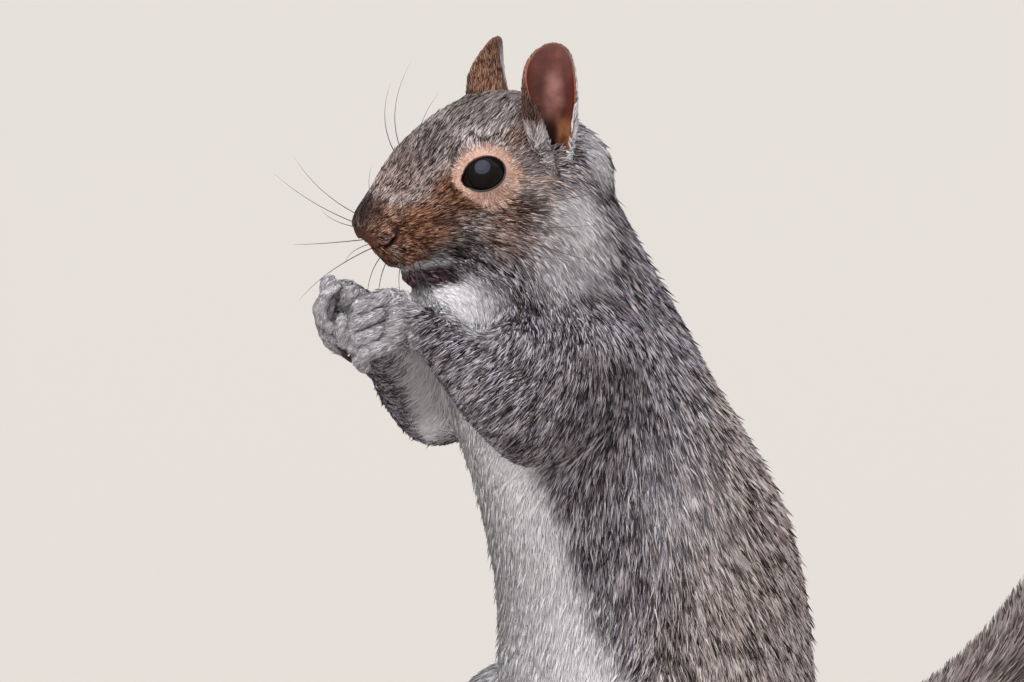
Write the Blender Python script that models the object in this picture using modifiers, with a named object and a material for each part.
"""A life-size still model of a grey squirrel sitting up on its haunches, forepaws held at its chin.

The solids give the outline of the coat. The animal faces -Y, its left is +X and the floor is Z = 0.
Lengths in the tables are millimetres, which mm() and the builders turn to metres.
Flesh is first fused from lofts and ellipsoids, then parted from its neighbours with a thin gap.
"""

import bmesh
import bpy
from math import cos, pi, radians, sin
from mathutils import Matrix, Vector

MM = 0.001
GAP = 0.32  # between neighbouring solids
LEFT, RIGHT = 1, -1
SIDE_NAME = {LEFT: "left", RIGHT: "right"}

# ---- driving dimensions ----

# The torso from rump to nape: height, middle (Y), half width (X), half depth (Y).
TORSO = (
    (11, 12, 14, 14),
    (17, 10.5, 25, 24),
    (28, 7.5, 33, 32),
    (44, 4, 37, 36),
    (62, 1.8, 37, 37.2),
    (76, 1.7, 35.5, 36.4),
    (90, -0.5, 33.5, 36.4),
    (104, -4.8, 32, 36.1),
    (113, -8.9, 31.5, 35.1),
    (122.5, -13.5, 30.5, 33.9),
    (131.5, -18.1, 29.5, 32.1),
    (141, -21.7, 27.5, 30.9),
    (150, -25.2, 25, 29.3),
    (157, -27, 23, 27.2),
    (164, -28.3, 21, 24.5),
    (171, -29.8, 20, 21.5),
    (179, -30, 17.5, 18),
    (186, -30, 13, 13),
)
NECK_CUT_HEIGHT, NECK_CUT_SLOPE = 152.5, radians(7)

# The head's own frame: S runs forward from HEAD_CENTRE to the nose, T up from the jaw to the crown.
HEAD_CENTRE = Vector((0, -40, 181))
HEAD_PITCH = radians(20)
# The head from nose to nape: S, its top and bottom (T), half width (X), and how much wider it is below.
SKULL = (
    (36.6, 1.8, -1.2, 2.2, 0.0),
    (35.8, 3.3, -3.9, 4.2, 0.0),
    (33.8, 5.0, -7.4, 5.8, 0.05),
    (30.5, 7.0, -10.6, 7, 0.08),
    (27.5, 9.3, -12.8, 8.1, 0.12),
    (23.4, 12.5, -15, 9.3, 0.16),
    (18.5, 15.3, -17, 10.6, 0.2),
    (12.5, 17.6, -19, 12.1, 0.2),
    (6, 18.9, -21, 13.7, 0.16),
    (0, 19, -22, 15.3, 0.1),
    (-7, 18, -22, 16.2, 0.06),
    (-14, 15, -21, 16.3, 0.02),
    (-20, 8.8, -19, 14.9, 0),
    (-25, 1.5, -14, 11.5, 0),
    (-27.5, -4, -9.5, 5.5, 0),
)
# Forms that swell the head: middle (X, S, T) and radii (X, S, T). Those off the middle come in pairs.
HEAD_FORMS = (
    ((0, 22.3, -15.4), (5.6, 6.6, 4.6)),  # chin
    ((0, 11, -17), (9.2, 13, 6.2)),  # throat under the jaw
    ((3.9, 28.4, -7), (4.4, 6.2, 5.2)),  # upper lip pad
    ((0, 34.6, -0.4), (3.4, 2.6, 3.6)),  # nose pad
    ((8.6, 1, -10), (8.1, 15, 8.8)),  # cheek
    ((7, 5, 9.6), (4.5, 11, 4.6)),  # brow
    ((6.0, 20, -7), (4.4, 8, 5.4)),  # whisker bed
)
MOUTH = ((0, 25.4, -13.8), (8.6, 7.4, 0.75))  # the slit between the lips
EYE_CENTRE, EYE_RADIUS = Vector((10.6, 6.3, 2.7)), 5.3  # in the head's frame

EAR_ROOT, EAR_TIP = Vector((16, -31, 183.5)), Vector((17.1, -32.6, 210.8))
EAR_BOW = Vector((20.7, -35.8, 202.5))  # the point that its middle line bends towards
EAR_FACING = radians(28)  # how far the cup is turned forward from straight out to the side
EAR_HALF_WIDTH, EAR_DEPTH, EAR_THICKNESS = 6.5, 4.2, 1.5
EAR_BACK_EDGE = radians(80)  # how far each edge is bent round from the middle of the cup
EAR_FRONT_EDGE = radians(135), radians(85)  # at the root, where it rolls in, and at the tip
EAR_FLATTENING = 0.65  # the share of its depth that the cup loses by the tip
EAR_NOTCH = 0.42  # its width at the root, as a share of the full width
EAR_WIDEST, EAR_TIP_ROUNDNESS, EAR_TIP_SHARE = 0.5, 2.6, 0.004

SHOULDER, SHOULDER_RADII = Vector((17, -27, 141)), (12, 17, 17)
ARM_ROOT, ELBOW = Vector((20, -24, 141)), Vector((26.5, -42, 124))
UPPER_ARM_RADII, UPPER_ARM_BOW = (13.5, 13.5, 9.6), Vector((1.5, 1, 0))
FOREARM_RADII, FOREARM_BOW = (9.6, 9.4, 7.2, 5.4), Vector((1, 0, -1))
FOREARM_SHARES = (0.35, 0.75)  # where the forearm is widest and where it narrows, from elbow to wrist
WRIST = {LEFT: Vector((10.8, -61.5, 147.5)), RIGHT: Vector((-12.2, -65, 148))}
KNUCKLES = {LEFT: Vector((7.6, -68.8, 149)), RIGHT: Vector((-9.6, -74.8, 153.8))}
# Down the row of knuckles, the way that the fingers leave them, and the way that their ends curl.
FINGER_ROW = {LEFT: Vector((0.1, 0.12, -1)), RIGHT: Vector((-0.6, 0.6, -0.5))}
FINGER_WAY = {LEFT: Vector((-0.28, -0.88, -0.34)), RIGHT: Vector((0.1, -0.42, -0.9))}
FINGER_CURL = {LEFT: Vector((-0.6, 0.3, -0.7)), RIGHT: Vector((0.15, 0.5, -0.83))}
FINGER_COUNT, FINGER_PITCH, FINGER_RADIUS = 4, 3.5, 1.9
FINGER_LENGTHS = (6.8, 8.2, 8.4, 7.2)
FINGER_TAPER = (1, 1.02, 0.95, 0.72)
FINGER_END = 5  # from the last bend to the tip
LAST_BEND, LAST_BEND_CURL = 0.55, 1.6  # its share of that end, and how far it has turned to the curl
PALM_RADII, PALM_FLATNESS, PALM_MIDDLE = (4.7, 6.2, 6.4), 0.55, 0.55
THUMB_RADII, THUMB_REACH = (2.2, 1.6), 5.2
THUMB_SHARES = (0.4, 0.6)  # from wrist to knuckles: where the thumb starts and ends
THUMB_START = 0.6  # the share of the reach at which it starts
CLAW_LENGTH, CLAW_DROOP = 4.2, 1.1
CLAW_RADII, CLAW_SHARES, CLAW_FLATNESS = (0.85, 0.68, 0.28), (0.1, 0.55, 1), 0.75
STEEP = 0.7  # a claw that points down more than this droops backwards instead

HAUNCH, HAUNCH_RADII, HAUNCH_TILT = Vector((25, 5, 40)), (17.5, 31, 27.5), radians(-10)
KNEE, KNEE_RADII, ANKLE = Vector((32.5, -17.5, 49)), (10.8, 18.5, 16.5), Vector((27, 4, 12))
SHANK_RADII, SHIN = (9.5, 8.5, 6.8), Vector((0, -2, -9))  # the shin starts that far from the knee
HEEL, BALL = Vector((26, 11, 3.1)), Vector((30.5, -34, 4.6))
SOLE_RADII, SOLE_SHARES, SOLE_FLATNESS = (5.8, 6.4, 8, 9.6), (0, 0.3, 0.65, 1), 0.62
TOE_COUNT, TOE_PITCH, TOE_RADIUS = 5, 4, 2.2
TOE_LENGTHS = (9.5, 13.5, 15, 14, 10)
TOE_SETBACKS = (4.5, 1, 0, 1, 5)  # how far behind the ball's line each toe starts
TOE_TAPER = (1.1, 1, 0.86)
TOE_SPLAY, TOE_ARCH = radians(5), 1.1
HIND_CLAW_RISE, HIND_CLAW_DIP = Vector((0, 0, 0.5)), Vector((0, 0, -0.15))

# The tail from root to tip: Y, Z, half width (X), half thickness.
TAIL = (
    (26, 32, 11, 11),
    (40, 23.5, 16, 16.5),
    (52, 20.2, 20, 21.5),
    (64, 25.5, 24, 23),
    (78, 37, 27.5, 22.5),
    (92, 46.5, 30, 22),
    (106, 57, 32, 21.5),
    (119, 70, 33.5, 21),
    (129, 86, 34, 20.5),
    (135, 104, 34, 20),
    (138.5, 124, 33, 19.5),
    (140.5, 144, 31, 18.5),
    (144.5, 162, 27, 16.5),
    (151.5, 178, 21, 13),
    (160, 190, 12.5, 8),
    (166, 196, 4, 3),
)
TAIL_CUTS = (4.1, 7.6, 11.2)  # between these stations, counted from the root
TAIL_NAMES = ("tail_base", "tail_lower", "tail_upper", "tail_tip")

# Voxel size, smoothing passes and triangles of each fused form.
GRAIN = {
    "torso": (2.2, 10, 800),
    "head": (0.9, 10, 1230),
    "ear": (0.55, 3, 280),
    "upper_arm": (1.1, 6, 170),
    "forearm": (0.9, 5, 160),
    "hand": (0.5, 4, 410),
    "thigh": (1.6, 8, 210),
    "shank": (1.1, 6, 120),
    "foot": (0.6, 4, 410),
    "tail": (2.0, 6, 530),
}
CUTTER_TRIANGLES, CUTTER_SLACK = 420, 0.55  # a neighbour is cut away in a plainer form, grown by the slack

COLOURS = {
    "grey_coat": (0.20, 0.18, 0.17),
    "tail_coat": (0.24, 0.21, 0.19),
    "ear_skin": (0.42, 0.20, 0.15),
    "eye": (0.010, 0.009, 0.010),
    "claw": (0.045, 0.035, 0.032),
}
ROUGHNESS = {"eye": 0.08, "claw": 0.4}
SOFT_ROUGHNESS = 0.9
SHARP_ANGLE = radians(50)
LIMB_END = 0.85  # how far a limb's round end reaches, as a share of its radius
SMOOTHING = 0.5
ON_PLANE = 1e-6  # metres: what lies this near a cutting plane is taken to lie on it


# ---- small tools ----


def mm(point):
    """A point of the tables, in metres."""
    return Vector(point) * MM


def on(side, point):
    """A point given for the left side, on either side."""
    return Vector((point[0] * side, point[1], point[2]))


def in_head(x, s, t):
    """A point of the head's own frame, in the model's millimetres."""
    forward = Vector((0, -cos(HEAD_PITCH), -sin(HEAD_PITCH)))
    upward = Vector((0, -sin(HEAD_PITCH), cos(HEAD_PITCH)))
    return HEAD_CENTRE + Vector((x, 0, 0)) + forward * s + upward * t


def material(name):
    found = bpy.data.materials.get(name)
    if found:
        return found
    made = bpy.data.materials.new(name)
    made.use_nodes = True
    shader = made.node_tree.nodes["Principled BSDF"]
    shader.inputs["Base Color"].default_value = (*COLOURS[name], 1)
    shader.inputs["Roughness"].default_value = ROUGHNESS.get(name, SOFT_ROUGHNESS)
    shader.inputs["Metallic"].default_value = 0.0
    return made


def object_of(name, bm, collection):
    """A new object that holds the bmesh, which is freed."""
    bmesh.ops.recalc_face_normals(bm, faces=bm.faces)
    mesh = bpy.data.meshes.new(name)
    bm.to_mesh(mesh)
    bm.free()
    made = bpy.data.objects.new(name, mesh)
    collection.objects.link(made)
    return made


def settled(obj):
    """Applies the object's modifiers."""
    graph = bpy.context.evaluated_depsgraph_get()
    mesh = bpy.data.meshes.new_from_object(obj.evaluated_get(graph))
    obj.modifiers.clear()
    old = obj.data
    obj.data = mesh
    bpy.data.meshes.remove(old)
    return obj


# ---- forms, each stated in millimetres and added to a bmesh ----


def add_ellipsoid(bm, centre, radii, turn=Matrix.Identity(3), sides=20):
    place = Matrix.Translation(mm(centre)) @ turn.to_4x4() @ Matrix.Diagonal((*mm(radii), 1))
    bmesh.ops.create_uvsphere(bm, u_segments=sides, v_segments=sides // 2, radius=1, matrix=place)


def add_loft(bm, rings, sides=28):
    """Skins a row of egg-shaped rings and caps its ends.

    A ring is (centre, across, up, half width, half height, egg), where egg is how much wider it is below.
    """
    loops = []
    for centre, across, up, width, height, egg in rings:
        made = bmesh.ops.create_circle(bm, segments=sides, radius=1)["verts"]
        for vertex in made:
            side, rise = vertex.co.x, vertex.co.y
            offset = across * (width * side * (1 - egg * rise)) + up * (height * rise)
            vertex.co = mm(centre + offset)
        edges = dict.fromkeys(edge for vertex in made for edge in vertex.link_edges)
        loops.append(list(edges))
    for first, second in zip(loops, loops[1:]):
        bmesh.ops.bridge_loops(bm, edges=first + second)
    bmesh.ops.edgeloop_fill(bm, edges=loops[0])
    bmesh.ops.edgeloop_fill(bm, edges=loops[-1])


def add_limb(bm, points, radii, flatness=1.0, across=Vector((1, 0, 0)), sides=16):
    """A round tapered limb through the points, with round ends.

    Flatness squeezes it at right angles to across.
    """
    rings = []
    for index, point in enumerate(points):
        before = points[max(index - 1, 0)]
        after = points[min(index + 1, len(points) - 1)]
        along = (after - before).normalized()
        side = (across - along * across.dot(along)).normalized()
        rings.append((point, side, along.cross(side), radii[index], radii[index] * flatness, 0))
    add_loft(bm, rings, sides)
    for point, side, up, radius, height, _ in (rings[0], rings[-1]):
        turn = Matrix((side, up, side.cross(up))).transposed()
        add_ellipsoid(bm, point, (radius, height, radius * LIMB_END), turn, sides)


def fuse(obj, kind):
    """Fuses the object's overlapping closed forms into one smooth solid."""
    voxel, passes, triangles = GRAIN[kind]
    remesh = obj.modifiers.new("fuse", "REMESH")
    remesh.mode = "VOXEL"
    remesh.voxel_size = voxel * MM
    smooth = obj.modifiers.new("soften", "SMOOTH")
    smooth.factor = SMOOTHING
    smooth.iterations = passes
    settled(obj)
    return thinned(obj, triangles)


def thinned(obj, triangles):
    """Brings the object down to about the stated number of triangles."""
    present = sum(len(face.vertices) - 2 for face in obj.data.polygons)
    if present <= triangles:
        return obj
    thin = obj.modifiers.new("thin", "DECIMATE")
    thin.ratio = triangles / present
    return settled(obj)


# ---- parting ----


def grown_copy(obj):
    """A cutter a little larger than the object, so that what it cuts keeps a gap to it."""
    cutter = bpy.data.objects.new(f"cut_{obj.name}", obj.data.copy())
    CUTTERS.objects.link(cutter)
    cutter.hide_render = True
    cutter.display_type = "WIRE"
    whole = len(cutter.data.polygons)
    thinned(cutter, CUTTER_TRIANGLES)
    by = GAP if len(cutter.data.polygons) == whole else GAP + CUTTER_SLACK
    normals = [vertex.normal.copy() for vertex in cutter.data.vertices]
    for vertex, normal in zip(cutter.data.vertices, normals):
        vertex.co += normal * (by * MM)
    return cutter


def cut(obj, cutter):
    step = obj.modifiers.new("cut", "BOOLEAN")
    step.operation = "DIFFERENCE"
    step.object = cutter
    step.solver = "EXACT"
    step.use_self = True  # a grown cutter can cross itself in a crease
    bpy.context.view_layer.update()
    return settled(obj)


def largest_body(obj):
    """Drops the crumbs that a cut leaves beside the solid."""
    bm = bmesh.new()
    bm.from_mesh(obj.data)
    left, bodies = dict.fromkeys(bm.faces), []
    while left:
        body, front = [], [left.popitem()[0]]
        while front:
            face = front.pop()
            body.append(face)
            near = dict.fromkeys(other for edge in face.edges for other in edge.link_faces)
            for other in near:
                if other in left:
                    del left[other]
                    front.append(other)
        bodies.append(body)
    bodies.sort(key=lambda body: -sum(face.calc_area() for face in body))
    crumbs = [face for body in bodies[1:] for face in body]
    bmesh.ops.delete(bm, geom=crumbs, context="FACES")
    bm.to_mesh(obj.data)
    bm.free()
    return obj


def carve(obj, *neighbours):
    """Cuts the neighbours away from the object, with a gap."""
    for neighbour in neighbours:
        cut(obj, grown_copy(neighbour))
    return largest_body(obj)


def slab_side(obj, point, normal):
    """Keeps what lies on the normal's side of a plane, and closes the cut."""
    bm = bmesh.new()
    bm.from_mesh(obj.data)
    whole = bm.verts[:] + bm.edges[:] + bm.faces[:]
    cut = bmesh.ops.bisect_plane(
        bm, geom=whole, plane_co=mm(point), plane_no=normal, clear_inner=True, dist=ON_PLANE
    )["geom_cut"]
    rim = [item for item in cut if isinstance(item, bmesh.types.BMEdge)]
    bmesh.ops.holes_fill(bm, edges=rim, sides=0)
    bmesh.ops.triangulate(bm, faces=[face for face in bm.faces if len(face.verts) > 4])
    bm.to_mesh(obj.data)
    bm.free()
    return obj


def split(obj, point, normal, name):
    """Parts the object at a plane with a thin cut, and returns what lies beyond as a new object."""
    beyond = bpy.data.objects.new(name, obj.data.copy())
    PARTS.objects.link(beyond)
    slab_side(beyond, Vector(point) + normal * GAP / 2, normal)
    slab_side(obj, Vector(point) - normal * GAP / 2, -normal)
    return beyond


def on_floor(obj):
    """Gives what reaches the floor a small flat there."""
    return slab_side(obj, (0, 0, 0), Vector((0, 0, 1)))


# ---- the animal ----


def torso():
    """The trunk and neck, fused as one and parted with a thin cut."""
    bm = bmesh.new()
    across, up = Vector((1, 0, 0)), Vector((0, 1, 0))
    add_loft(bm, [(Vector((0, y, z)), across, up, w, d, 0.0) for z, y, w, d in TORSO], 32)
    for side in (LEFT, RIGHT):
        add_ellipsoid(bm, on(side, SHOULDER), SHOULDER_RADII)
    trunk = fuse(object_of("trunk", bm, PARTS), "torso")
    slope = Vector((0, -sin(NECK_CUT_SLOPE), cos(NECK_CUT_SLOPE)))
    neck = split(trunk, (0, TORSO[12][1], NECK_CUT_HEIGHT), slope, "neck")
    return trunk, neck


def head():
    bm = bmesh.new()
    upward = in_head(0, 0, 1) - in_head(0, 0, 0)
    rings = [
        (in_head(0, s, (top + bottom) / 2), Vector((1, 0, 0)), upward, width, (top - bottom) / 2, egg)
        for s, top, bottom, width, egg in SKULL
    ]
    add_loft(bm, rings, 32)
    tilt = Matrix.Rotation(HEAD_PITCH, 3, "X")
    for (x, s, t), (across, along, tall) in HEAD_FORMS:
        for side in (LEFT, RIGHT) if x else (LEFT,):
            add_ellipsoid(bm, in_head(x * side, s, t), (across, along, tall), tilt)
    made = fuse(object_of("head", bm, PARTS), "head")
    slit = bmesh.new()
    add_ellipsoid(slit, in_head(*MOUTH[0]), MOUTH[1], tilt, 12)
    cutter = object_of("cut_mouth", slit, CUTTERS)
    cutter.hide_render = True
    cutter.display_type = "WIRE"
    return cut(made, cutter)


def eye(side):
    bm = bmesh.new()
    centre = in_head(EYE_CENTRE.x * side, EYE_CENTRE.y, EYE_CENTRE.z)
    add_ellipsoid(bm, centre, [EYE_RADIUS] * 3, sides=14)
    return object_of(f"eye_{SIDE_NAME[side]}", bm, PARTS)


def ear(side):
    """A cupped leaf of skin: a sheet bent round its own axis, with the front edge rolled in."""
    root, bow, tip = (on(side, point) for point in (EAR_ROOT, EAR_BOW, EAR_TIP))
    facing = Vector((cos(EAR_FACING) * side, -sin(EAR_FACING), 0))
    forward = Vector((-sin(EAR_FACING) * side, -cos(EAR_FACING), 0))
    bm = bmesh.new()
    bmesh.ops.create_grid(bm, x_segments=14, y_segments=14, size=1)
    for vertex in bm.verts:
        share, rise = vertex.co.x, (vertex.co.y + 1) / 2
        middle = root.lerp(bow, rise).lerp(bow.lerp(tip, rise), rise)
        front = EAR_FRONT_EDGE[0] * (1 - rise) + EAR_FRONT_EDGE[1] * rise
        bend = share * (EAR_BACK_EDGE if share < 0 else front)
        depth = EAR_DEPTH * (1 - EAR_FLATTENING * rise * rise)
        vertex.co = mm(middle + forward * (ear_half_width(rise) * sin(bend)) - facing * (depth * cos(bend)))
    made = object_of(f"ear_{SIDE_NAME[side]}", bm, PARTS)
    wall = made.modifiers.new("wall", "SOLIDIFY")
    wall.thickness = EAR_THICKNESS * MM
    wall.offset = 0
    return fuse(made, "ear")


def ear_half_width(rise):
    """Half the ear's width at a share of its height: narrow at the notch and round at the tip."""
    swell = EAR_NOTCH + (1 - EAR_NOTCH) * sin(pi / 2 * min(rise / EAR_WIDEST, 1))
    taper = 1 - max(0.0, (rise - EAR_WIDEST) / (1 - EAR_WIDEST)) ** EAR_TIP_ROUNDNESS
    return EAR_HALF_WIDTH * swell * max(EAR_TIP_SHARE, taper) ** 0.5


def arm(side):
    """The upper arm, tucked to the chest, and the forearm reaching up to the chin."""
    root, elbow, wrist = on(side, ARM_ROOT), on(side, ELBOW), WRIST[side]
    bm = bmesh.new()
    middle = (root + elbow) / 2 + on(side, UPPER_ARM_BOW)
    add_limb(bm, (root, middle, elbow), UPPER_ARM_RADII)
    upper = fuse(object_of(f"upper_arm_{SIDE_NAME[side]}", bm, PARTS), "upper_arm")
    bm = bmesh.new()
    belly, narrows = (elbow.lerp(wrist, share) for share in FOREARM_SHARES)
    add_limb(bm, (elbow, belly + on(side, FOREARM_BOW), narrows, wrist), FOREARM_RADII)
    lower = fuse(object_of(f"forearm_{SIDE_NAME[side]}", bm, PARTS), "forearm")
    return upper, lower


def digit_points(root, way, curl, length, end):
    """A bent digit's points: knuckle, middle joint, last joint and tip."""
    joint = root + way * length
    bend = joint + (way + curl * LAST_BEND_CURL).normalized() * end * LAST_BEND
    return root, joint, bend, joint + curl * end


def hand(side):
    """The palm with its fingers, and the place and way of each claw."""
    bm = bmesh.new()
    wrist, knuckles = WRIST[side], KNUCKLES[side]
    row, way, curl = (table[side].normalized() for table in (FINGER_ROW, FINGER_WAY, FINGER_CURL))
    claws = []
    middle = wrist.lerp(knuckles, PALM_MIDDLE)
    add_limb(bm, (wrist, middle, knuckles), PALM_RADII, PALM_FLATNESS, row)
    for number in range(FINGER_COUNT):
        spread = (number - (FINGER_COUNT - 1) / 2) * FINGER_PITCH
        root = knuckles + row * spread
        points = digit_points(root, way, curl, FINGER_LENGTHS[number], FINGER_END)
        add_limb(bm, points, [FINGER_RADIUS * share for share in FINGER_TAPER], sides=12)
        claws.append((points[-1], curl))
    start, tip = (wrist.lerp(knuckles, share) for share in THUMB_SHARES)
    thumb = (start - row * THUMB_REACH * THUMB_START, tip - row * THUMB_REACH)
    add_limb(bm, thumb, THUMB_RADII, sides=12)
    return fuse(object_of(f"hand_{SIDE_NAME[side]}", bm, PARTS), "hand"), claws


def leg(side):
    """The haunch, and the shank folded under it."""
    knee, ankle = on(side, KNEE), on(side, ANKLE)
    bm = bmesh.new()
    add_ellipsoid(bm, on(side, HAUNCH), HAUNCH_RADII, Matrix.Rotation(HAUNCH_TILT, 3, "X"), 28)
    add_ellipsoid(bm, knee, KNEE_RADII)
    thigh = fuse(object_of(f"thigh_{SIDE_NAME[side]}", bm, PARTS), "thigh")
    bm = bmesh.new()
    shin = knee + SHIN
    add_limb(bm, (shin, shin.lerp(ankle, 0.5), ankle), SHANK_RADII)
    shank = fuse(object_of(f"shank_{SIDE_NAME[side]}", bm, PARTS), "shank")
    return thigh, shank


def foot(side):
    """The long hind foot, flat on the floor, and the place and way of each claw."""
    bm = bmesh.new()
    heel, ball = on(side, HEEL), on(side, BALL)
    ahead = (ball - heel).normalized()
    row = Vector((-ahead.y * side, ahead.x * side, 0)).normalized()
    claws = []
    middles = [heel.lerp(ball, share) for share in SOLE_SHARES]
    add_limb(bm, middles, SOLE_RADII, SOLE_FLATNESS, row)
    for number in range(TOE_COUNT):
        spread = number - (TOE_COUNT - 1) / 2
        turn = Matrix.Rotation(-TOE_SPLAY * spread * side, 3, "Z")
        way = turn @ Vector((ahead.x, ahead.y, 0)).normalized()
        root = ball + row * spread * TOE_PITCH - ahead * TOE_SETBACKS[number]
        root.z = TOE_RADIUS + TOE_ARCH
        length = TOE_LENGTHS[number]
        arch = root + way * length * 0.5 + Vector((0, 0, TOE_ARCH))
        tip = root + way * length
        tip.z = TOE_RADIUS * TOE_TAPER[-1]
        add_limb(bm, (root, arch, tip), [TOE_RADIUS * share for share in TOE_TAPER], sides=12)
        claws.append((tip + HIND_CLAW_RISE, (way + HIND_CLAW_DIP).normalized()))
    return on_floor(fuse(object_of(f"foot_{SIDE_NAME[side]}", bm, PARTS), "foot")), claws


def claw(name, tip, way):
    """A short curved spike that starts inside the digit's tip."""
    bm = bmesh.new()
    droop = Vector((0, 0, -1)) if abs(way.z) < STEEP else Vector((0, 1, 0))
    across = way.cross(droop).normalized()
    rings = []
    for share, radius in zip(CLAW_SHARES, CLAW_RADII):
        point = tip + way * CLAW_LENGTH * share + droop * CLAW_DROOP * share * share
        rings.append((point, across * CLAW_FLATNESS, way.cross(across), radius, radius, 0))
    add_loft(bm, rings, 6)
    return object_of(name, bm, PARTS)


def tail():
    """The whole brush, parted into lengths with thin cuts across it."""
    bm = bmesh.new()
    middles = [Vector((0, y, z)) for y, z, _, _ in TAIL]
    rings = []
    for index, (middle, (_, _, width, thickness)) in enumerate(zip(middles, TAIL)):
        along = middles[min(index + 1, len(TAIL) - 1)] - middles[max(index - 1, 0)]
        up = Vector((1, 0, 0)).cross(along).normalized()
        rings.append((middle, Vector((1, 0, 0)), up, width, thickness, 0))
    add_loft(bm, rings, 30)
    lengths = [on_floor(fuse(object_of(TAIL_NAMES[0], bm, PARTS), "tail"))]
    for place, name in zip(TAIL_CUTS, TAIL_NAMES[1:]):
        index = int(place)
        point = middles[index].lerp(middles[index + 1], place - index)
        along = (middles[index + 1] - middles[index]).normalized()
        lengths.append(split(lengths[-1], point, along, name))
    return lengths


def dress(obj, slot):
    obj.data.materials.clear()
    obj.data.materials.append(material(slot))
    obj.data.shade_smooth()
    obj.data.set_sharp_from_angle(angle=SHARP_ANGLE)


def squirrel():
    trunk, neck = torso()
    skull = head()
    eyes = [eye(side) for side in (LEFT, RIGHT)]
    carve(skull, *eyes)
    carve(neck, skull)
    grey, bare, horn = [trunk, neck, skull], [], []
    for side in (LEFT, RIGHT):
        name = SIDE_NAME[side]
        bare.append(carve(ear(side), skull, neck))
        upper, lower = arm(side)
        carve(upper, trunk, neck)
        carve(lower, upper, trunk)
        paw, claws = hand(side)
        carve(paw, lower, skull)
        for number, (tip, way) in enumerate(claws, 1):
            horn.append(carve(claw(f"fore_claw_{name}_{number}", tip, way), paw))
        thigh, shank = leg(side)
        carve(thigh, trunk)
        carve(shank, thigh, trunk)
        sole, claws = foot(side)
        carve(shank, sole)
        carve(thigh, sole)
        carve(trunk, sole)
        for number, (tip, way) in enumerate(claws, 1):
            nail = carve(claw(f"hind_claw_{name}_{number}", tip, way), sole)
            horn.append(on_floor(nail))
        grey += [upper, lower, paw, thigh, shank, sole]
    lengths = tail()
    for length in lengths[:2]:
        carve(length, trunk, *[bpy.data.objects[f"thigh_{name}"] for name in SIDE_NAME.values()])
    for obj, slot in (
        *((obj, "grey_coat") for obj in grey),
        *((obj, "tail_coat") for obj in lengths),
        *((obj, "ear_skin") for obj in bare),
        *((obj, "eye") for obj in eyes),
        *((obj, "claw") for obj in horn),
    ):
        dress(obj, slot)


def stand_on_origin():
    """Moves the animal so that the middle of its footprint box is at the origin, on the floor."""
    corners = [vertex.co for obj in PARTS.objects for vertex in obj.data.vertices]
    places = [sorted(corner[axis] for corner in corners) for axis in (0, 1)]
    anchor = bpy.data.objects.new("squirrel", None)
    PARTS.objects.link(anchor)
    anchor.location = (*(-(along[0] + along[-1]) / 2 for along in places), 0)
    for obj in PARTS.objects:
        if obj is not anchor:
            obj.parent = anchor


for old in list(bpy.data.objects):
    bpy.data.objects.remove(old)
PARTS = bpy.data.collections.new("grey_squirrel")
CUTTERS = bpy.data.collections.new("cutters")
bpy.context.scene.collection.children.link(PARTS)
bpy.context.scene.collection.children.link(CUTTERS)
squirrel()
stand_on_origin()
